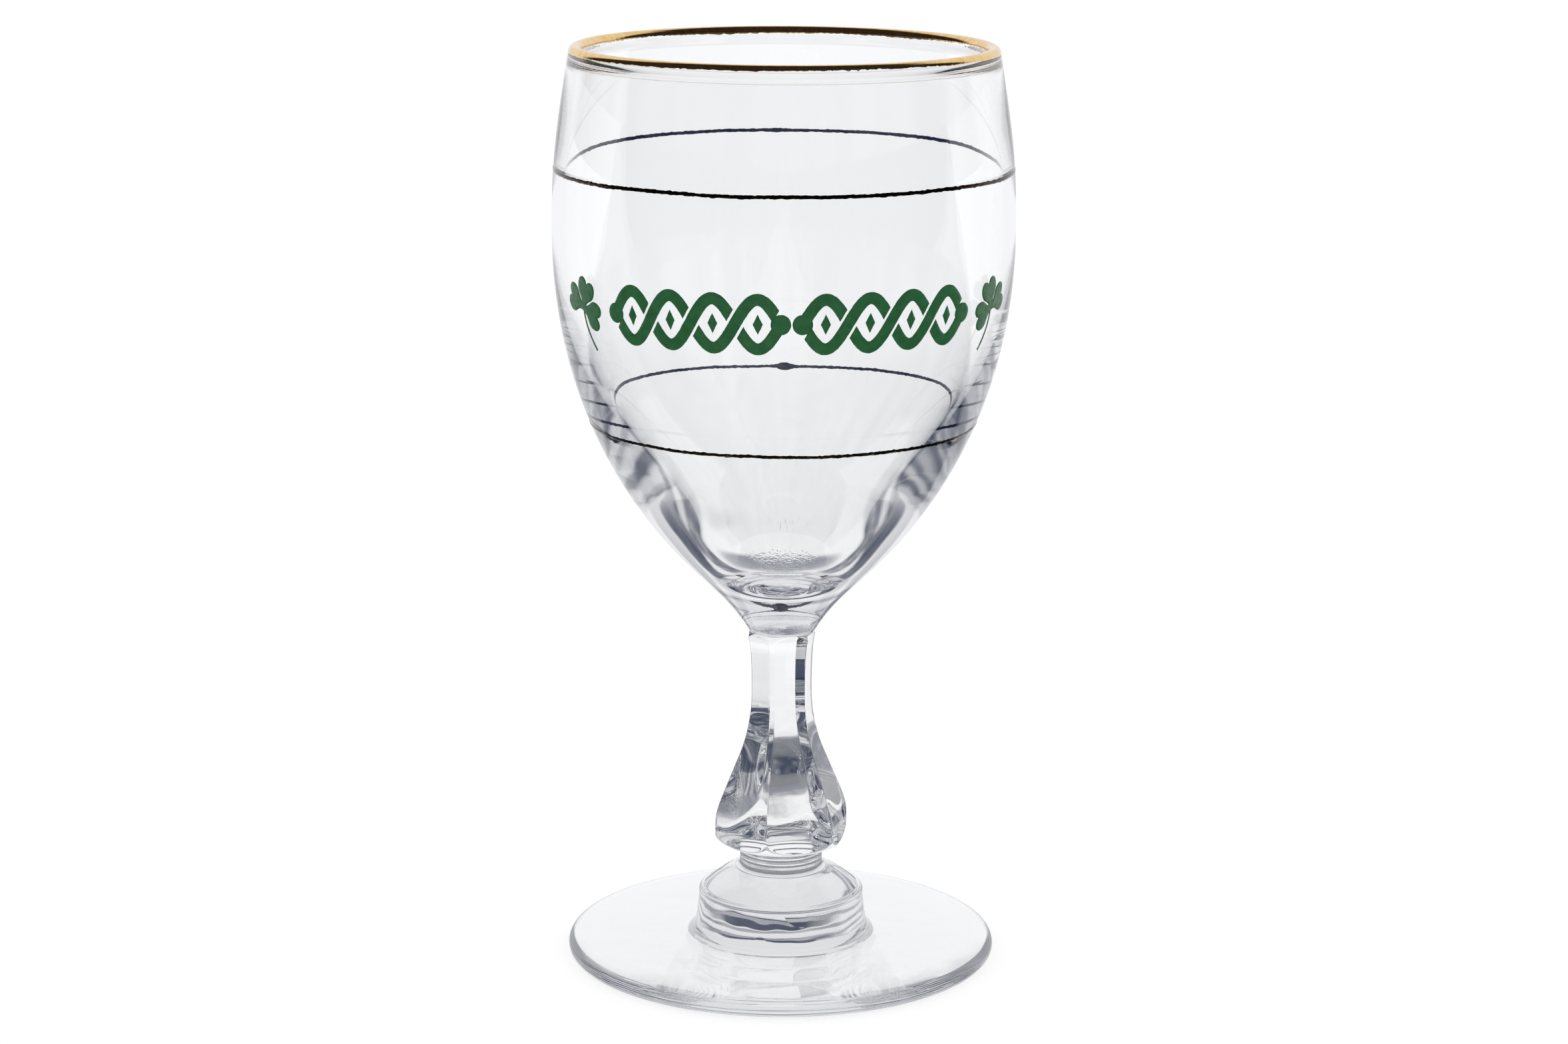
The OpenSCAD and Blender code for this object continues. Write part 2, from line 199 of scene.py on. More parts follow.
def sectionMesh(name, points, flats=None, push=None, jointRows=(), **marks):
    # a half section with the values that the turning reads; a flat that is a metre off cuts nothing
    count = len(points)
    mesh = bpy.data.meshes.new(name)
    mesh.from_pydata([(r * mm, 0, z * mm) for r, z in points], [], [])
    values = {"flat": np.full(count, 1.0) if flats is None else np.asarray(flats) * mm}
    for key in ("side", "ripple", "wavy", "under"):
        values[key] = marks.get(key, np.zeros(count))
    values["joint"] = np.array([1.0 if i in jointRows else 0.0 for i in range(count)])
    for key, value in values.items():
        mesh.attributes.new(key, "FLOAT", "POINT").data.foreach_set("value", value)
    moves = np.zeros((count, 3))
    if push is not None:
        moves[:, [0, 2]] = push
    mesh.attributes.new("push", "FLOAT_VECTOR", "POINT").data.foreach_set("vector", moves.ravel())
    return mesh


def addObject(name, data):
    thing = bpy.data.objects.new(name, data)
    scene.collection.objects.link(thing)
    return thing


def runTree(name, mesh, tree, **inputs):
    # the tree's result as a plain mesh object
    holder = addObject(name + "Draft", mesh)
    modifier = holder.modifiers.new(tree.name, "NODES")
    modifier.node_group = tree
    sockets = {item.name: item.identifier for item in tree.interface.items_tree
               if item.item_type == "SOCKET" and item.in_out == "INPUT"}
    for key, value in inputs.items():
        spaced = "".join(" " + c if c.isupper() else c for c in key).title()
        modifier[sockets[spaced]] = value
    graph = bpy.context.evaluated_depsgraph_get()
    result = bpy.data.meshes.new_from_object(holder.evaluated_get(graph), depsgraph=graph)
    bpy.data.objects.remove(holder)
    result.name = name
    return addObject(name, result)


def hand(piece, slot, *nodes):
    # gives a finished piece to the frame
    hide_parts(*nodes)
    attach(piece, "root")
    print(" ", piece.name, len(piece.data.polygons), "faces", [round(v / mm, 1) for v in piece.dimensions])


jointStep = 0.03  # mm, from the edge of a joint to the next row inside it
foot = {"radius": 35.8, "edgeHeight": 2.6, "restInset": 8.0, "rise": 0.7, "collarRadius": 13.8,
        "collarTop": 10.9, "collarFootRadius": 16.0, "collarRound": 0.8, "roundEnd": 80.0, "top": 14.4,
        "jointRadius": 7.7, "capBulge": 0.12, "flareLow": 0.35, "flareHigh": 0.12, "flareRise": 0.25,
        "wavesRise": 3.0, "wavesFall": 0.5}  # mm, degrees, shares of the flare and of the cap


def footSection():
    f = foot
    edgeRound = f["edgeHeight"] / 2
    edge = np.array([f["radius"] - edgeRound, edgeRound])
    spring = np.array([f["collarFootRadius"], f["edgeHeight"] + f["rise"]])
    flare = f["collarFootRadius"] - f["collarRadius"]
    sideHeight = f["collarTop"] - spring[1]
    corner = np.array([f["collarRadius"] - f["collarRound"], f["collarTop"] - f["collarRound"]])
    capLow, capTop = np.array([corner[0], f["collarTop"]]), np.array([f["jointRadius"], f["top"]])
    bulge = np.array([0, f["capBulge"] * (f["top"] - f["collarTop"])])
    third = (capTop - capLow) / 3
    return joined(
        [[0, 0], [f["radius"] - f["restInset"], 0]], arc(edge, edgeRound, -90, 90, steps=20),
        np.linspace(edge + polar(edgeRound, 90), spring, 12),
        curve(spring, [f["collarRadius"] + f["flareLow"] * flare, spring[1]],
              [f["collarRadius"] + f["flareHigh"] * flare, spring[1] + f["flareRise"] * sideHeight],
              corner + [f["collarRound"], 0]),
        arc(corner, f["collarRound"], 0, f["roundEnd"], steps=10),
        curve(capLow, capLow + third + bulge, capTop - third + bulge, capTop),
        [capTop - [jointStep, 0]], [[0, f["top"]]])


stem = {"bottom": 14.4, "top": 55.2, "neckRadius": 6.9, "neckHeight": 3.8, "ringDepth": 0.15,
        "ringHeight": 0.5, "ringPitch": 0.9, "rings": 3, "ringMargin": 0.02, "bellFlat": 10.1,
        "bellUnder": 2.8, "bellCorner": 0.99, "skirt": 3.7, "flankFlat": 9.0, "flankLow": 5.3,
        "flankHeight": 7.0, "flankLean": 20.5, "waistFlat": 4.52, "waistRise": 10.8, "waistPull": 0.4,
        "topPull": 0.16, "topAngle": 60.0, "flatsTurn": 47.5, "edgeSoftness": 0.35}  # mm, degrees, shares


def stemSection():
    s = stem
    bell = s["bottom"] + s["neckHeight"]
    skirt = bell + s["skirt"]
    flank = skirt + s["flankLow"]
    waist = flank + s["flankHeight"] + s["waistRise"]
    corner = s["bellFlat"] / math.cos(math.pi / turning["flats"]) * s["bellCorner"]
    neckTop = bell - s["rings"] * s["ringPitch"]
    flare = foot["jointRadius"] - s["neckRadius"]
    neck = curve((foot["jointRadius"], s["bottom"]), (foot["jointRadius"] - flare / 2, s["bottom"]),
                 (s["neckRadius"], (neckTop + s["bottom"]) / 2), (s["neckRadius"], neckTop), steps=12)
    rings = []
    for i in reversed(range(s["rings"])):
        middle = bell - s["ringHeight"] / 2 - i * s["ringPitch"]
        heights = np.linspace(-s["ringPitch"] / 2, s["ringPitch"] / 2, 13)[:-1]
        depth = s["ringDepth"] * np.clip(1 - np.abs(heights) / (s["ringHeight"] / 2), 0, 1)
        rings += [[s["neckRadius"] - d, middle + h] for h, d in zip(heights, depth)]
    rings = [q for q in rings if neckTop + s["ringMargin"] < q[1] < bell - s["ringMargin"]]
    under = [np.array([s["neckRadius"] + (corner - s["neckRadius"]) * math.sin(a),
                       bell + s["bellUnder"] * (1 - math.cos(a))]) for a in np.linspace(0, math.pi / 2, 20)]
    lean = polar(1, 90 + s["flankLean"])
    skirtPoint, waistPoint = np.array([s["bellFlat"], skirt]), np.array([s["waistFlat"], waist])
    flankLow = np.array([s["flankFlat"], flank])
    flankTop = flankLow + lean * s["flankHeight"] / lean[1]
    topPoint = np.array([bowl["jointRadius"], s["top"]])
    topSpan = s["top"] - waist
    lowPull, waistPull = s["flankLow"] / 3, s["waistRise"] / 3
    flatLine = joined(
        [[s["bellFlat"], s["bottom"]]],
        curve(skirtPoint, skirtPoint + up * lowPull, flankLow - lean * lowPull, flankLow, steps=30),
        curve(flankTop, flankTop + lean * waistPull, waistPoint - up * waistPull, waistPoint, steps=40),
        curve(waistPoint, waistPoint + up * s["waistPull"] * topSpan,
              topPoint - polar(s["topPull"] * topSpan, s["topAngle"]), topPoint, steps=40))
    heights = np.linspace(under[-1][1], s["top"], 140)[1:-1]
    cone = [[np.interp(z, [waist, s["top"]], [corner, bowl["jointRadius"]]), z] for z in heights]
    points = joined([[0, s["bottom"]], [foot["jointRadius"] - jointStep, s["bottom"]]], neck, rings, under,
                    cone, [topPoint, topPoint - [jointStep, 0], [0, s["top"]]])
    flats = np.interp(points[:, 1], flatLine[:, 1], flatLine[:, 0])
    return points, flats


bowl = {"bottom": 55.2, "height": 96.8, "jointRadius": 5.4, "flareRadius": 21.5, "flareHeight": 18.2,
        "bellyRadius": 37.6, "bellyHeight": 66.9, "rimRadius": 34.7, "lipRadius": 1.1,
        "rimWall": 1.3, "bellyWall": 1.9, "flareWall": 5.4, "floorThickness": 10.0, "startAngle": 60.0,
        "flareAngle": 52.0, "rimLean": 9.3, "startPull": 0.43, "flarePull": 0.59, "wallPull": 0.22,
        "bellyPull": 0.5, "upperPull": 0.4, "innerPull": 0.2, "rippleFull": 2.0,
        "rippleTop": 4.0}  # mm, degrees, shares of the spans


def lipCentre():
    return np.array([bowl["rimRadius"] - bowl["lipRadius"],
                     bowl["bottom"] + bowl["height"] - bowl["lipRadius"]])


def bowlOutside():
    b = bowl
    flareSpan, upperSpan = b["bellyHeight"] - b["flareHeight"], b["height"] - b["bellyHeight"]
    start = np.array([b["jointRadius"], b["bottom"]])
    flare = np.array([b["flareRadius"], b["bottom"] + b["flareHeight"]])
    belly = np.array([b["bellyRadius"], b["bottom"] + b["bellyHeight"]])
    rim = lipCentre() + polar(b["lipRadius"], b["rimLean"])
    return joined(
        curve(start, start + polar(b["startPull"] * b["flareHeight"], b["startAngle"]),
              flare - polar(b["flarePull"] * b["flareHeight"], b["flareAngle"]), flare),
        curve(flare, flare + polar(b["wallPull"] * flareSpan, b["flareAngle"]),
              belly - up * b["bellyPull"] * flareSpan, belly, steps=40),
        curve(belly, belly + up * b["upperPull"] * upperSpan,
              rim - polar(b["upperPull"] * upperSpan, 90 + b["rimLean"]), rim))


def bowlInside():
    b = bowl
    flareSpan, upperSpan = b["bellyHeight"] - b["flareHeight"], b["height"] - b["bellyHeight"]
    floorPoint = np.array([0, b["bottom"] + b["floorThickness"]])
    flare = np.array([b["flareRadius"], b["bottom"] + b["flareHeight"]])
    flare += polar(b["flareWall"], 90 + b["flareAngle"])
    belly = np.array([b["bellyRadius"] - b["bellyWall"], b["bottom"] + b["bellyHeight"]])
    lip, lean = lipCentre(), 90 + b["rimLean"]
    rim = lip + polar(b["lipRadius"], b["rimLean"]) - [b["rimWall"], 0] - polar(2 * b["lipRadius"], lean)
    top = lip - [b["lipRadius"], 0]
    return joined(
        curve(floorPoint, floorPoint + [flare[0] / 2, 0], flare - polar(b["flareWall"], b["flareAngle"]),
              flare, steps=32),
        curve(flare, flare + polar(b["wallPull"] * flareSpan, b["flareAngle"]),
              belly - up * b["bellyPull"] * flareSpan, belly, steps=40),
        curve(belly, belly + up * b["upperPull"] * upperSpan, rim - polar(b["innerPull"] * upperSpan, lean),
              rim),
        curve(rim, rim + polar(b["lipRadius"] / 2, lean), top - up * b["lipRadius"] / 2, top, steps=6))


def bowlSection():
    # the half section, and where the pressing left ripples: on the inside, near its floor
    inside = bowlInside()
    cap = np.array([[0, bowl["bottom"]], [bowl["jointRadius"] - jointStep, bowl["bottom"]]])
    lip = arc(lipCentre(), bowl["lipRadius"], bowl["rimLean"], 180, steps=20)
    points = joined(cap, bowlOutside(), lip, inside[::-1])
    above = points[:, 1] - inside[0, 1]
    ripple = np.clip((bowl["rippleTop"] - above) / (bowl["rippleTop"] - bowl["rippleFull"]), 0, 1)
    ripple[:len(points) - len(inside) + 1] = 0
    return points, ripple


gilding = {"thickness": 0.06, "sink": 0.02, "rimStart": -2.0, "rimEnd": 178.0, "rimRagged": 0.55,
           "rimLift": 0.4, "upperHeight": 77.2, "upperWidth": 0.6, "upperJoin": 0.12, "upperTurn": 1.607,
           "lowerHeight": 35.8, "lowerWidth": 0.55, "lowerJoin": 0.5, "lowerTurn": 1.56, "ragged": 0.5,
           "wander": 0.5, "thinning": 6, "pushing": 3}  # mm, degrees on the lip, radians round the bowl


def closedBand(outside, inside, way, side):
    # along the outer face and back along the inner one, with the values that the turning reads
    return {"points": np.concatenate([outside, inside[::-1], outside[:1]]),
            "push": np.concatenate([way, way[::-1], way[:1]]),
            "side": np.concatenate([side, side[::-1], side[:1]]),
            "under": np.repeat([0.0, 1.0, 0.0], [len(side), len(side), 1])}


def rimBand():
    # film over the lip: outside face over the top and down inside, then back through the glass
    share = np.linspace(-1, 1, 33)
    angles = gilding["rimStart"] + (gilding["rimEnd"] - gilding["rimStart"]) * (share + 1) / 2
    outer = bowl["lipRadius"] + gilding["thickness"] * (1 - share ** gilding["thinning"])
    outside = np.array([lipCentre() + polar(r, a) for r, a in zip(outer, angles)])
    inside = np.array([lipCentre() + polar(bowl["lipRadius"] - gilding["sink"], a) for a in angles])
    way = np.array([polar(1, a + 90) for a in angles])
    way *= (np.abs(share) ** gilding["pushing"])[:, None]
    return closedBand(outside, inside, way, np.sign(share))


def lineBand(height, width):
    # a narrow film round the bowl's outside
    wall = bowlOutside()
    share = np.linspace(-1, 1, 9)
    heights = bowl["bottom"] + height + share * width / 2
    radii = np.interp(heights, wall[:, 1], wall[:, 0])
    outer = radii + gilding["thickness"] * (1 - share ** gilding["thinning"])
    outside = np.column_stack([outer, heights])
    inside = np.column_stack([radii - gilding["sink"], heights])
    lean = (radii[-1] - radii[0]) / width
    way = np.tile([lean, 1.0], (len(share), 1))
    return closedBand(outside, inside, way, share)


enamel = {"thickness": 0.07, "sink": 0.02, "edgeShare": 0.6, "ragged": 0.12, "step": 0.14, "cell": 0.45,
          "rowShare": 0.87, "offGrid": (0.013, 0.017), "snap": 1e-5, "beadLift": 0.01, "printTurn": 2.0,
          "borderHeight": 57.6, "loopLength": 7.2, "loops": 4, "borderGap": 3.4, "swing": 3.9,
          "strandWidth": 1.9, "strandGap": 0.4, "lozenge": 1.6, "beadRadius": 1.6,
          "shamrockGap": 8.9, "shamrockHeight": 57.3, "leafLength": 4.9, "leafWidth": 4.7,
          "leafTurn": 87.0, "stalkWidth": 0.4, "stalkLength": 7.4, "tilt": 21.0}  # mm, degrees
laying = {"raggedScale": 1800.0, "raggedDetail": 2.0, "outside": 0.06, "reach": 0.1,
          "weld": 2e-6}  # lengths in metres


def printedTree():
    # repeats a flat drawing along a line, with a piece at both ends, and lays it on the bowl
    tree, given, result = newTree("printed", "GeometryNodeTree", [
        ("Geometry", "Geometry", None), ("Count", "Int", 1), ("Pitch", "Float", 0.01),
        ("Ends", "Object", None), ("Start", "Float", 0.0), ("Height", "Float", 0.1), ("Turn", "Float", 0.0),
        ("Radius", "Float", bowl["bellyRadius"] * mm), ("Ragged", "Float", enamel["ragged"] * mm),
        ("Bowl", "Object", None), ("Material", "Material", None)],
        [("Geometry", "Geometry")])

    def repeated(geometry, count, step):
        line = addNode(tree, "GeometryNodeMeshLine", {
            "Count": count, "Start Location": vector(tree, given["Start"]), "Offset": vector(tree, step)})
        return addNode(tree, "GeometryNodeInstanceOnPoints", {
            "Points": line.outputs[0], "Instance": geometry}).outputs[0]

    run = repeated(given["Geometry"], given["Count"], given["Pitch"])
    ends = addNode(tree, "GeometryNodeObjectInfo", {"Object": given["Ends"]}).outputs["Geometry"]
    ends = repeated(ends, 2, product(tree, given["Count"], given["Pitch"]))
    both = addNode(tree, "GeometryNodeJoinGeometry")
    tree.links.new(run, both.inputs[0])
    tree.links.new(ends, both.inputs[0])
    real = addNode(tree, "GeometryNodeRealizeInstances", {"Geometry": both.outputs[0]})
    closed = addNode(tree, "GeometryNodeMergeByDistance", {
        "Geometry": real.outputs[0], "Distance": laying["weld"]})
    position = addNode(tree, "GeometryNodeInputPosition").outputs[0]
    flatPlace = vectorCalc(tree, "MULTIPLY", position, (1, 1, 0))
    noise = addNode(tree, "ShaderNodeTexNoise", {
        "Vector": flatPlace, "Scale": laying["raggedScale"], "Detail": laying["raggedDetail"]}).outputs[1]
    wobble = vectorCalc(tree, "MULTIPLY", vectorCalc(tree, "SUBTRACT", noise, (0.5, 0.5, 0.5)), (1, 1, 0))
    wobble = scaled(tree, wobble, given["Ragged"])
    x, y, height = parts(tree, vectorCalc(tree, "ADD", position, wobble))
    angle = calc(tree, "ADD", calc(tree, "DIVIDE", x, given["Radius"]), given["Turn"])
    outward = vector(tree, calc(tree, "SINE", angle), product(tree, calc(tree, "COSINE", angle), -1.0))
    level = vector(tree, z=calc(tree, "ADD", y, given["Height"]))
    source = vectorCalc(tree, "MULTIPLY_ADD", outward, (laying["outside"],) * 3, level)
    inward = scaled(tree, outward, -1.0)
    target = addNode(tree, "GeometryNodeObjectInfo", {"Object": given["Bowl"]}).outputs["Geometry"]
    hit = addNode(tree, "GeometryNodeRaycast", {
        "Target Geometry": target, "Source Position": source, "Ray Direction": inward,
        "Ray Length": laying["reach"]})
    lifted = vectorCalc(tree, "ADD", hit.outputs["Hit Position"], scaled(tree, outward, height))
    laid = addNode(tree, "GeometryNodeSetPosition", {"Geometry": closed.outputs[0], "Position": lifted})
    shaded = addNode(tree, "GeometryNodeSetShadeSmooth", {"Geometry": laid.outputs[0]})
    film = addNode(tree, "GeometryNodeRealizeInstances", {"Geometry": shaded.outputs[0]})
    painted = addNode(tree, "GeometryNodeSetMaterial", {
        "Geometry": film.outputs[0], "Material": given["Material"]})
    tree.links.new(painted.outputs[0], result[0])
    return tree


def evened(outline, step):
    # the closed outline with points at about the same spacing
    outline = np.asarray(outline, float)
    ring = np.concatenate([outline, outline[:1]])
    along = np.concatenate([[0], np.cumsum(np.hypot(*np.diff(ring, axis=0).T))])
    corners = [0]
    for start, end in zip(along[:-1], along[1:]):
        corners += list(np.linspace(start, end, max(1, round((end - start) / step)) + 1)[1:])
    return np.column_stack([np.interp(corners[:-1], along, ring[:, k]) for k in (0, 1)])


def flatFilm(name, outlines, extra=0.0):
    # a flat sheet with a small thickness, closed all round
    cell, (offX, offY) = enamel["cell"], enamel["offGrid"]
    outlines = [evened(q, enamel["step"]) for q in outlines]
    points = [tuple(q) for outline in outlines for q in outline]
    faces, start = [], 0
    for outline in outlines:
        faces.append(list(range(start, start + len(outline))))
        start += len(outline)
    low, high = np.min(points, axis=0), np.max(points, axis=0)
    for i, y in enumerate(np.arange(low[1], high[1], cell * enamel["rowShare"])):
        points += [(x + offX, y + offY) for x in np.arange(low[0] + (i % 2) * cell / 2, high[0], cell)]
    flat, _, tris, _, _, _ = delaunay_2d_cdt([Vector(q) for q in points], [], faces, 1, enamel["snap"])
    used = sorted({i for tri in tris for i in tri})
    renumber = {old: new for new, old in enumerate(used)}
    tris = [[renumber[i] for i in tri] for tri in tris]
    count = len(used)
    edges = dict.fromkeys((tri[i], tri[(i + 1) % 3]) for tri in tris for i in range(3))
    border = [edge for edge in edges if (edge[1], edge[0]) not in edges]
    onBorder = {i for edge in border for i in edge}
    top = [(flat[i][0] * mm, flat[i][1] * mm,
            (enamel["thickness"] * (enamel["edgeShare"] if renumber[i] in onBorder else 1.0) + extra) * mm)
           for i in used]
    bottom = [(x, y, -(enamel["sink"] + extra) * mm) for x, y, _ in top]
    solid = list(tris) + [[i + count for i in reversed(tri)] for tri in tris]
    solid += [[b, a, a + count, b + count] for a, b in border]
    mesh = bpy.data.meshes.new(name)
    mesh.from_pydata(top + bottom, [], solid)
    return mesh


def beside(points, distance):
    # a line's points, moved to its left
    way = np.gradient(points, axis=0)
    way /= np.hypot(*way.T)[:, None]
    return points + distance * np.column_stack([-way[:, 1], way[:, 0]])


def plaitLoop():
    # one loop of the plait, from crossing to crossing: the strand that falls passes under the other
    e = enamel
    t = np.linspace(0, 1, 97)
    upper = np.column_stack([t * e["loopLength"], e["swing"] * np.sin(math.pi * t)])
    lower = upper * [1, -1]
    t = np.linspace(-0.5, 0.5, 201)
    rising = np.column_stack([t * e["loopLength"], e["swing"] * np.sin(math.pi * t)])

    def clear(points, crossing):
        # which points lie beyond the gap beside the strand on top
        gap = [np.min(np.hypot(*(rising + [crossing, 0] - q).T)) for q in points]
        return np.array(gap) >= e["strandWidth"] / 2 + e["strandGap"]

    def edges(points):
        return beside(points, e["strandWidth"] / 2), beside(points, -e["strandWidth"] / 2)

    left, right = edges(upper)
    near = upper[:, 0] < e["loopLength"] / 2
    cutUpper = np.concatenate([left[clear(left, e["loopLength"]) | near],
                               right[clear(right, e["loopLength"]) | near][::-1]])
    left, right = edges(lower)
    near = lower[:, 0] > e["loopLength"] / 2
    cutLower = np.concatenate([left[clear(left, 0) | near], right[clear(right, 0) | near][::-1]])
    middle = np.array([e["loopLength"] / 2, 0])
    lozenge = np.array([[0, 1], [-0.5, 0], [0, -1], [0.5, 0]]) * e["lozenge"] + middle
    return [cutUpper[::-1], cutLower[::-1], lozenge]


def shamrock(mirror):
    # three leaves and a bent stalk, each a closed outline
    e = enamel
    # in shares of the leaf's and of the stalk's size
    half = joined(curve((0.1, -0.1), (0.1, 0.42), (0.5, 0.3), (0.5, 0.7), steps=20),
                  curve((0.5, 0.7), (0.5, 1.04), (0.12, 1.1), (0, 0.83), steps=20))
    half = half * [e["leafWidth"], e["leafLength"]]
    leaf = np.concatenate([half, (half * [-1, 1])[::-1][1:]])
    middle = curve((0, 0.05), (-0.12, -0.3), (-0.34, -0.5), (-0.66, -0.7), steps=30) * e["stalkLength"]
    stalk = np.concatenate([beside(middle, e["stalkWidth"] / 2), beside(middle, -e["stalkWidth"] / 2)[::-1]])
    outlines = []
    for shape, turn in ((leaf, -e["leafTurn"]), (leaf, 0), (leaf, e["leafTurn"]), (stalk, 0)):
        a = math.radians(turn + e["tilt"])
        spun = shape @ np.array([[math.cos(a), math.sin(a)], [-math.sin(a), math.cos(a)]])
        if mirror:
            spun = (spun * [-1, 1])[::-1]
        area = np.sum(spun[:, 0] * np.roll(spun[:, 1], -1) - np.roll(spun[:, 0], -1) * spun[:, 1])
        outlines.append(spun if area > 0 else spun[::-1])
    return outlines


def newMaterial(name):
    material = bpy.data.materials.new(name)
    material.use_nodes = True
    tree = material.node_tree
    return material, tree, tree.nodes["Principled BSDF"]


contrast = {"lowest": 0.3, "highest": 0.7, "spotsFrom": 0.6, "spotsFull": 0.72}  # shares of the noise


def unevennessGroup():
    # soft noise between two values, for flow, smudges and wear, and its high spots
    tree, given, result = newTree("unevenness", "ShaderNodeTree", [
        ("Scale", "Float", 100.0), ("Detail", "Float", 3.0), ("Low", "Float", 0.0), ("High", "Float", 1.0),
        ("Seed", "Float", 0.0)], [("Value", "Float"), ("Spots", "Float")])
    place = addNode(tree, "ShaderNodeTexCoord").outputs["Object"]
    noise = addNode(tree, "ShaderNodeTexNoise", {
        "Vector": place, "W": given["Seed"], "Scale": given["Scale"],
        "Detail": given["Detail"]}, noise_dimensions="4D").outputs[0]
    value = addNode(tree, "ShaderNodeMapRange", {
        "Value": noise, "From Min": contrast["lowest"], "From Max": contrast["highest"],
        "To Min": given["Low"], "To Max": given["High"]})
    spots = addNode(tree, "ShaderNodeMapRange", {
        "Value": noise, "From Min": contrast["spotsFrom"], "From Max": contrast["spotsFull"]})
    tree.links.new(value.outputs[0], result["Value"])
    tree.links.new(spots.outputs[0], result["Spots"])
    return tree


uneven = unevennessGroup()


def unevenness(tree, **values):
    node = addNode(tree, "ShaderNodeGroup", node_tree=uneven)
    for key, value in values.items():
        node.inputs[key.title()].default_value = value
    return node.outputs


def smooth(tree, value, start, end, low=0.0, high=1.0):
    # eases from low to high as the value goes from start to end
    return addNode(tree, "ShaderNodeMapRange", {0: value, 1: start, 2: end, 3: low, 4: high},
                   interpolation_type="SMOOTHSTEP").outputs[0]


def between(tree, value, rise, fall, top=1.0):
    # eases up to the top over the first span and down to nothing over the second
    return product(tree, smooth(tree, value, *rise, 0.0, top), smooth(tree, value, *fall, 1.0, 0.0))


def without(tree, whole, share):
    # what is left when a share is taken away
    return product(tree, whole, calc(tree, "SUBTRACT", 1.0, share))


def atLeast(tree, value, count):
    # 1 where a whole number has reached the count
    return calc(tree, "GREATER_THAN", value, count - 0.5)


def blended(tree, share, first, second):
    return addNode(tree, "ShaderNodeMix", {0: share, 2: first, 3: second}).outputs[0]


def mixed(tree, share, first, second):
    return addNode(tree, "ShaderNodeMix", {0: share, 6: first, 7: second}, data_type="RGBA").outputs[2]


def surfaceMark(tree, name):
    # a value from 0 to 1 that the turned mesh carries
    return addNode(tree, "ShaderNodeAttribute", attribute_name=name).outputs["Fac"]


def bumped(tree, shader, height, strength=1.0):
    # the heights are in millimetres
    bump = addNode(tree, "ShaderNodeBump", {"Height": height, "Strength": strength, "Distance": mm})
    feed(tree, shader, {"Normal": bump.outputs[0]})


pressed = {"colour": (0.985, 0.99, 0.99, 1), "refraction": 1.57, "flow": 0.012, "waves": 0.22,
           "ripples": 0.07, "tipSides": (0.0035, 0.0075), "tipFront": (0.0, 0.003),
           "wiped": 0.03}  # heights in mm, places in metres


def clearGlass():
    # slow waves from the press, stronger ones on the collar, small ripples where the plunger's tip was,
    # and faint wipe marks
    material, tree, shader = newMaterial("clearGlass")
    feed(tree, shader, {"Base Color": pressed["colour"], "IOR": pressed["refraction"],
                        "Transmission Weight": 1.0})
    slow = unevenness(tree, scale=70.0, detail=1.0, high=pressed["flow"])["Value"]
    wave = unevenness(tree, scale=150.0, detail=0.5, high=pressed["waves"], seed=6.0)["Value"]
    ripple = unevenness(tree, scale=2200.0, detail=1.0, high=pressed["ripples"], seed=5.0)["Value"]
    height = calc(tree, "MULTIPLY_ADD", wave, surfaceMark(tree, "wavy"), slow)
    place = addNode(tree, "ShaderNodeTexCoord").outputs["Object"]
    across, depth, _ = parts(tree, place)
    spot = product(tree, smooth(tree, calc(tree, "ABSOLUTE", across), *pressed["tipSides"], 1.0, 0.0),
                   smooth(tree, depth, *pressed["tipFront"]))
    ripple = product(tree, ripple, spot)
    bumped(tree, shader, calc(tree, "MULTIPLY_ADD", ripple, surfaceMark(tree, "ripple"), height))
    smudge = unevenness(tree, scale=55.0, detail=4.0, seed=9.0)["Spots"]
    feed(tree, shader, {"Roughness": product(tree, smudge, pressed["wiped"])})
    return material


def fusedJoint():
    # where foot, stem and bowl are one glass, light goes straight on
    material, tree, shader = newMaterial("fusedJoint")
    feed(tree, shader, {"Alpha": 0.0})
    return material


goldTones = {"film": {"low": (0.8, 0.5, 0.17, 1), "high": (0.93, 0.68, 0.32, 1),
                      "under": (1.0, 0.95, 0.9, 1), "dull": 0.0},
             # the gold lines: near-black tones and a navy underside are painted shade and painted reflection
             # of the dark surroundings they mirror
             "line": {"low": (0.01, 0.007, 0.004, 1), "high": (0.07, 0.04, 0.015, 1),
                      "under": (0.015, 0.028, 0.1, 1), "dull": 0.8}}


def firedGold(name, low, high, under, dull):
    # between two tones, which for the gold lines are painted shade; its underside, more or less dull, is
    # seen through the glass
    material, tree, shader = newMaterial(name)
    tone = unevenness(tree, scale=900.0)["Value"]
    beneath = surfaceMark(tree, "under")
    feed(tree, shader, {
        "Base Color": mixed(tree, beneath, mixed(tree, tone, low, high), under),
        "Metallic": calc(tree, "MULTIPLY_ADD", beneath, -dull, 1.0),
        "Roughness": unevenness(tree, scale=2500.0, detail=2.0, low=0.03, high=0.16, seed=3.0)["Value"]})
    bumped(tree, shader, unevenness(tree, scale=3500.0, detail=2.0, high=0.002, seed=4.0)["Value"])
    return material


greenTones = {"low": (0.008, 0.095, 0.022, 1), "high": (0.016, 0.13, 0.035, 1), "grain": 0.5}


def greenEnamel():
    # two greens with a fine grain, glossy in places
    material, tree, shader = newMaterial("greenEnamel")
    tone = unevenness(tree, scale=700.0, seed=7.0)["Value"]
    feed(tree, shader, {
        "Base Color": mixed(tree, tone, greenTones["low"], greenTones["high"]),
        "Roughness": unevenness(tree, scale=1500.0, detail=2.0, low=0.28, high=0.5, seed=8.0)["Value"]})
    grain = unevenness(tree, scale=2600.0, detail=2.0, high=0.02, seed=2.0)["Value"]
    bumped(tree, shader, grain, greenTones["grain"])
    return material


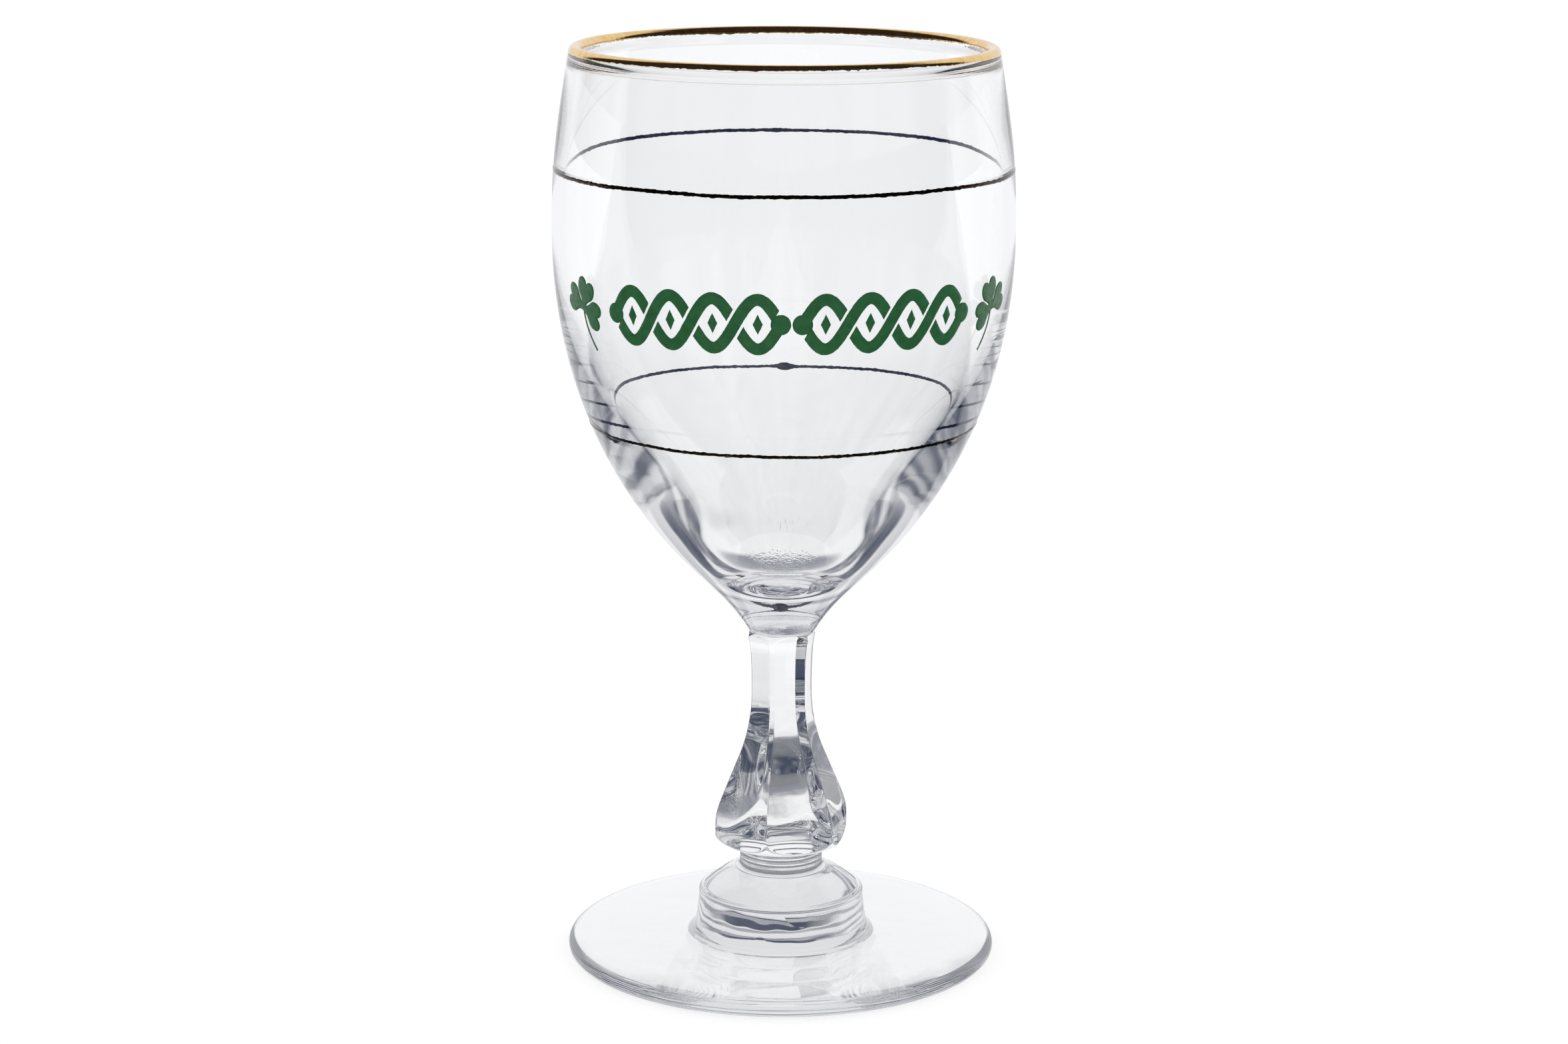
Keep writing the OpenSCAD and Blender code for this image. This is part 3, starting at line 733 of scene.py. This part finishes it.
glass, fused, green = clearGlass(), fusedJoint(), greenEnamel()
goldFilm = firedGold("firedGold", **goldTones["film"])
# gold lines with painted shade: near black, navy underneath
goldLine = firedGold("goldLinePaintedShade", **goldTones["line"])
turned, printed = turnedTree(), printedTree()
print("glass: turning foot, stem and bowl")
section = footSection()
last = len(section) - 1
wavy = np.clip((section[:, 1] - foot["edgeHeight"]) / foot["wavesRise"], 0, 1)
wavy *= np.clip((foot["top"] - section[:, 1]) / foot["wavesFall"], 0, 1)
drawing = sectionMesh("footSection", section, wavy=wavy, jointRows=(last, last - 1))
footPiece = runTree("footGlass", drawing, turned, segments=480, material=glass, jointMaterial=fused)
section, flats = stemSection()
last = len(section) - 1
drawing = sectionMesh("stemSection", section, flats, jointRows=(0, 1, last - 1, last))
stemPiece = runTree("stemGlass", drawing, turned, segments=432, flatsTurn=math.radians(stem["flatsTurn"]),
                    edgeSoftness=stem["edgeSoftness"] * mm, material=glass, jointMaterial=fused)
section, ripple = bowlSection()
drawing = sectionMesh("bowlSection", section, ripple=ripple, jointRows=(0, 1))
bowlPiece = runTree("bowlGlass", drawing, turned, segments=420, material=glass, jointMaterial=fused)
hand(footPiece, "clear_glass", "foot")
hand(stemPiece, "clear_glass", "stem")
hand(bowlPiece, "clear_glass", "bowl")

print("gold: lip and two lines")


def gild(name, node, band, material, **options):
    piece = runTree(name, sectionMesh(name, **band), turned, segments=1440, wander=gilding["wander"] * mm,
                    material=material, jointMaterial=material, **options)
    hand(piece, "gold_film", node)


gild("goldRim", "gold_rim", rimBand(), goldFilm, ragged=gilding["rimRagged"] * mm,
     lift=gilding["rimLift"] * mm, seed=3.0)
for name, node, which, seed in (("upperGoldLine", "upper_gold_line", "upper", 11.0),
                                ("lowerGoldLine", "lower_gold_line", "lower", 23.0)):
    band = lineBand(gilding[which + "Height"], gilding[which + "Width"])
    gild(name, node, band, goldLine, ragged=gilding["ragged"] * mm, join=gilding[which + "Join"] * mm,
         joinTurn=gilding[which + "Turn"], seed=seed)

print("enamel: borders and shamrocks")
loop = flatFilm("plaitLoop", plaitLoop())
disc = arc(np.zeros(2), enamel["beadRadius"], 0, 360, steps=48)[:-1]
bead = bpy.data.objects.new("bead", flatFilm("bead", [disc], enamel["beadLift"]))
bare = bpy.data.objects.new("bare", bpy.data.meshes.new("bare"))
half = enamel["borderGap"] / 2
length = enamel["loopLength"] * enamel["loops"]
common = {"bowl": bowlPiece, "turn": math.radians(enamel["printTurn"]), "material": green}
for name, node, start in (("leftBorder", "left_border", -half - length),
                          ("rightBorder", "right_border", half)):
    piece = runTree(name, loop, printed, count=enamel["loops"], pitch=enamel["loopLength"] * mm, ends=bead,
                    start=start * mm, height=(bowl["bottom"] + enamel["borderHeight"]) * mm, **common)
    hand(piece, "green_enamel", node)
reach = half + length + enamel["shamrockGap"]
for name, node, side in (("leftShamrock", "left_shamrock", -1), ("rightShamrock", "right_shamrock", 1)):
    drawing = flatFilm(name, shamrock(side < 0))
    piece = runTree(name, drawing, printed, count=1, ends=bare, start=side * reach * mm,
                    height=(bowl["bottom"] + enamel["shamrockHeight"]) * mm, **common)
    hand(piece, "green_enamel", node)
for spare in (bead, bare):
    bpy.data.objects.remove(spare)

print("camera, studio and floor")
view = {"lens": 83.366, "sensor": 36.0, "nearest": 0.01, "farthest": 20.0, "place": (0, -0.5846, 0.2066),
        "turn": -0.0242, "down": 12.825, "roll": 0.265}  # mm, metres, degrees


def turnedBy(degrees, axis):
    return Matrix.Rotation(math.radians(degrees), 4, axis)


camera = addObject("camera", bpy.data.cameras.new("camera"))
camera.data.lens, camera.data.sensor_width = view["lens"], view["sensor"]
camera.data.clip_start, camera.data.clip_end = view["nearest"], view["farthest"]
camera.matrix_world = (Matrix.Translation(view["place"]) @ turnedBy(view["turn"], "Z")
                       @ turnedBy(90 - view["down"], "X") @ turnedBy(view["roll"], "Z"))
scene.camera = camera

studio = {"dark": (0.026, 0.02, 0.024, 1), "light": (0.9, 0.9, 0.92, 1), "slate": (0.025, 0.04, 0.08, 1),
          "inGlass": (0.8, 0.8, 0.82, 1), "through": (0.97, 0.97, 0.98, 1), "backdropTurn": 9.0,
          "backdropEdge": (52.0, 64.0), "ceilingEdge": (42.0, 58.0), "sideTurns": (-20.0, 20.0),
          "sideLevels": (0.6, 0.75), "backEdge": (130.0, 160.0), "backLevel": 0.65, "streaks": 0.055,
          "streakDetail": 0.5, "streakRange": (0.36, 0.62), "streakLevels": (0.22, 1.15),
          "zenithEdge": (62.0, 75.0), "zenithLevel": 0.7}  # degrees; levels are shares of brightness


def lightPath(tree):
    # light that something mirrored on its way, seen by a shiny surface or within the glass
    path = addNode(tree, "ShaderNodeLightPath").outputs
    mirrored = atLeast(tree, path["Glossy Depth"], 1)
    for other in ("Is Camera Ray", "Is Diffuse Ray"):
        mirrored = without(tree, mirrored, path[other])
    return path, mirrored


def paintWorld():
    # white all round. The gold mirrors a white backdrop in a dark room, and the glass mirrors the backdrop
    # and streaky grey sides
    world = bpy.data.worlds.new("studio")
    scene.world = world
    world.use_nodes = True
    tree = world.node_tree
    tree.nodes.clear()
    path, mirrored = lightPath(tree)
    way = addNode(tree, "ShaderNodeTexCoord").outputs["Generated"]
    right, back, above = parts(tree, way)
    turn = calc(tree, "DEGREES", calc(tree, "ARCTAN2", right, back))
    rise = calc(tree, "DEGREES", calc(tree, "ARCSINE", above))
    off = calc(tree, "WRAP", calc(tree, "SUBTRACT", turn, studio["backdropTurn"]), 180.0, -180.0)
    off = calc(tree, "ABSOLUTE", off)
    backdrop = smooth(tree, off, *studio["backdropEdge"], 1.0, 0.0)
    ceiling = smooth(tree, rise, *studio["ceilingEdge"], 1.0, 0.0)
    gilt = mixed(tree, product(tree, backdrop, ceiling), studio["dark"], studio["light"])
    streaks = addNode(tree, "ShaderNodeTexNoise", {
        "W": product(tree, turn, studio["streaks"]), "Scale": 1.0,
        "Detail": studio["streakDetail"]}, noise_dimensions="1D").outputs[0]
    sides = product(tree, smooth(tree, turn, *studio["sideTurns"], *studio["sideLevels"]),
                    smooth(tree, off, *studio["backEdge"], 1.0, studio["backLevel"]),
                    smooth(tree, streaks, *studio["streakRange"], *studio["streakLevels"]),
                    smooth(tree, rise, *studio["zenithEdge"], 1.0, studio["zenithLevel"]))
    glassy = mixed(tree, calc(tree, "MAXIMUM", backdrop, sides), studio["slate"], studio["inGlass"])
    room = mixed(tree, atLeast(tree, path["Transmission Depth"], 1), gilt, glassy)
    seen = mixed(tree, path["Is Transmission Ray"], (1, 1, 1, 1), studio["through"])
    background = addNode(tree, "ShaderNodeBackground", {"Color": mixed(tree, mirrored, seen, room)})
    addNode(tree, "ShaderNodeOutputWorld", {"Surface": background.outputs[0]})


# the floor's size and place, and where it is painted darker for the glass and the gold to mirror: in front,
# a painted shadow under the stem, a dark arc and patches behind the foot
ground = {"reach": 6.0, "level": -0.0002, "footEdge": 0.0362, "frontEdge": (-0.05, -0.038),
          "frontLevels": (0.35, 0.03), "frontEnd": (-0.016, -0.009), "underLeft": (-0.012, -0.004),
          "underRight": (0.01, 0.02), "underLevels": (0.1, 0.22, 0.04), "underBack": (-0.004, 0.016),
          "gap": ((0.079, 0.091), (0.12, 0.14)), "gapFront": (0.01, 0.04),
          "spot": ((-0.007, -0.001), (0.006, 0.012)), "spotLevel": 0.85, "ends": (0.016, 0.026),
          "endsLevel": 0.7, "nearBack": ((0.028, 0.034), (0.05, 0.06)), "farEdge": (0.18, 0.3),
          "farColour": (0.93, 0.93, 0.95, 1)}  # metres; levels are shares
# each painted flag, a dark patch on the floor for the glass to mirror: its edge across, the shade before and
# past that edge, and its edge at the back
paintedFlags = (((0.084, 0.1), (0.0, 1.0), (0.098, 0.122)),
         ((-0.13, -0.11), (0.75, 0.0), (0.135, 0.165)))


def mirroredFloor(tree, place, downStem):
    # pale, as the glass and the gold mirror it, with painted shade: a dark flag at each side and a dark arc
    # behind the foot. The stem mirrors mottled painted shadow under and before the foot, and the collar
    # mirrors some right behind it
    across, depth, distance, wander = place
    # painted shade in front of the foot
    front = smooth(tree, depth, *ground["frontEdge"], *ground["frontLevels"])
    front = smooth(tree, depth, *ground["frontEnd"], front, 1.0)
    pastFoot = calc(tree, "MAXIMUM", downStem, calc(tree, "GREATER_THAN", distance, ground["footEdge"]))
    bright = blended(tree, pastFoot, 1.0, front)
    # the painted flags darken the floor at both sides
    for side, shades, end in paintedFlags:
        paintedFlag = product(tree, smooth(tree, across, *side, *shades), smooth(tree, depth, *end, 1.0, 0.0))
        bright = without(tree, bright, paintedFlag)
    # painted shadow under the stem, uneven across
    left, middle, right = ground["underLevels"]
    under = smooth(tree, across, *ground["underLeft"], left, middle)
    under = smooth(tree, across, *ground["underRight"], under, right)
    under = smooth(tree, calc(tree, "ADD", depth, wander), *ground["underBack"], under, 1.0)
    # a painted dark arc on the floor behind the foot
    gap = product(tree, between(tree, distance, *ground["gap"]), smooth(tree, depth, *ground["gapFront"]))
    spot = between(tree, across, *ground["spot"], ground["spotLevel"])
    ends = smooth(tree, calc(tree, "ABSOLUTE", across), *ground["ends"], 0.0, ground["endsLevel"])
    # painted shade in patches right behind the foot
    paintedShadePatches = product(tree, between(tree, depth, *ground["nearBack"]), calc(tree, "MAXIMUM", spot, ends))
    behind = without(tree, calc(tree, "SUBTRACT", 1.0, gap), paintedShadePatches)
    bright = product(tree, bright, blended(tree, downStem, behind, under))
    # the painted shade is mottled, finely where the stem mirrors it
    fine = unevenness(tree, scale=420.0, low=0.45, high=3.0, seed=12.0)["Value"]
    coarse = unevenness(tree, scale=60.0, low=0.45, high=2.2, seed=16.0)["Value"]
    bright = calc(tree, "POWER", bright, blended(tree, downStem, coarse, fine))
    far = mixed(tree, smooth(tree, distance, *ground["farEdge"]), studio["inGlass"], ground["farColour"])
    return mixed(tree, bright, studio["slate"], far)


# the floor's own light, and the shade and light painted on it as seen through the glass
floorLightAndShade = {"seen": (0.74, 0.74, 0.74, 1), "bounced": (0.5, 0.5, 0.5, 1), "base": (0.3, 0.3, 0.3, 1),
            "shadeBase": (0.25, 0.265, 0.305, 1), "shadeMiddle": (-0.004, 0.1), "shadeHalf": (0.047, 0.048),
            "shadeEdge": (0.65, 1.12), "footShade": (0.041, 0.049), "footLevel": 0.9, "footRagged": 0.4,
            "depths": (0.27, 0.42), "levels": (0.69, 0.76), "footRim": (0.036, 0.04), "rimLevel": 0.82,
            "blue": 1.012}  # metres; levels are shares


def seenFloor(tree, place, path, twice):
    # the floor's own light, white to the camera, with the glass's soft shade painted behind the foot and a
    # narrow one round it, both seen through the glass, and painted a little lighter under the foot
    across, depth, distance, wander = place
    passes = path["Transmission Depth"]
    aside, ahead = (
        calc(tree, "DIVIDE", calc(tree, "SUBTRACT", value, middle), halfWidth)
        for value, middle, halfWidth in zip((across, depth), floorLightAndShade["shadeMiddle"], floorLightAndShade["shadeHalf"]))
    away = calc(tree, "SQRT", calc(tree, "ADD", calc(tree, "POWER", aside, 2.0),
                                   calc(tree, "POWER", ahead, 2.0)))
    # a painted shadow behind the foot, seen through the bowl
    shade = product(tree, smooth(tree, away, *floorLightAndShade["shadeEdge"], 1.0, 0.0), twice)
    beyondFoot = product(tree, calc(tree, "GREATER_THAN", distance, ground["footEdge"]),
                         atLeast(tree, passes, 2))
    # a narrow painted shade round the foot, seen through the stem
    byFoot = without(tree, calc(tree, "MAXIMUM", twice, beyondFoot), atLeast(tree, passes, 5))
    ragged = calc(tree, "MULTIPLY_ADD", wander, floorLightAndShade["footRagged"], distance)
    byFoot = product(tree, byFoot, smooth(tree, ragged, *floorLightAndShade["footShade"], floorLightAndShade["footLevel"], 0.0))
    shade = calc(tree, "MAXIMUM", shade, byFoot)
    # seen through the glass, the floor is painted a little lighter under the foot
    level = calc(tree, "MAXIMUM", smooth(tree, depth, *floorLightAndShade["depths"], *floorLightAndShade["levels"]),
                 smooth(tree, distance, *floorLightAndShade["footRim"], floorLightAndShade["rimLevel"], 0.0))
    through = vector(tree, level, level, product(tree, level, floorLightAndShade["blue"]))
    light = mixed(tree, path["Is Transmission Ray"], floorLightAndShade["seen"], through)
    light = mixed(tree, shade, light, (0.0, 0.0, 0.0, 1))
    return shade, mixed(tree, path["Is Diffuse Ray"], light, floorLightAndShade["bounced"])


def layFloor():
    # pale floor, a little under the foot
    mesh = bpy.data.meshes.new("floor")
    reach, level = ground["reach"], ground["level"]
    mesh.from_pydata([(-reach, -reach, level), (reach, -reach, level), (reach, reach, level),
                      (-reach, reach, level)], [], [(0, 1, 2, 3)])
    floor = addObject("floor", mesh)
    material, tree, shader = newMaterial("paleFloor")
    mesh.materials.append(material)
    path, mirrored = lightPath(tree)
    spot = addNode(tree, "ShaderNodeTexCoord").outputs["Object"]
    across, depth, _ = parts(tree, spot)
    distance = addNode(tree, "ShaderNodeVectorMath", {0: spot}, operation="LENGTH").outputs["Value"]
    wander = unevenness(tree, scale=300.0, low=-0.005, high=0.005, seed=15.0)["Value"]
    place = across, depth, distance, wander
    twice = atLeast(tree, path["Transmission Depth"], 4)
    downStem = calc(tree, "MAXIMUM", atLeast(tree, path["Transparent Depth"], 1), twice)
    # the floor as the glass and the gold mirror it, with its painted shade
    onlyRoom = addNode(tree, "ShaderNodeEmission", {"Color": mirroredFloor(tree, place, downStem)})
    shade, light = seenFloor(tree, place, path, twice)
    # the base colour turns bluish grey where the shade is painted
    feed(tree, shader, {"Base Color": mixed(tree, shade, floorLightAndShade["base"], floorLightAndShade["shadeBase"]),
                        "Roughness": 1.0, "Specular IOR Level": 0.0})
    plain = addNode(tree, "ShaderNodeEmission", {"Color": light})
    both = addNode(tree, "ShaderNodeAddShader", {0: shader.outputs[0], 1: plain.outputs[0]})
    seen = addNode(tree, "ShaderNodeMixShader", {0: mirrored, 1: both.outputs[0], 2: onlyRoom.outputs[0]})
    tree.links.new(seen.outputs[0], tree.nodes["Material Output"].inputs["Surface"])


paintWorld()
layFloor()
scene.view_settings.view_transform = "Standard"
cycles = scene.cycles
cycles.max_bounces, cycles.glossy_bounces = 48, 32
cycles.transmission_bounces, cycles.transparent_max_bounces = 48, 24
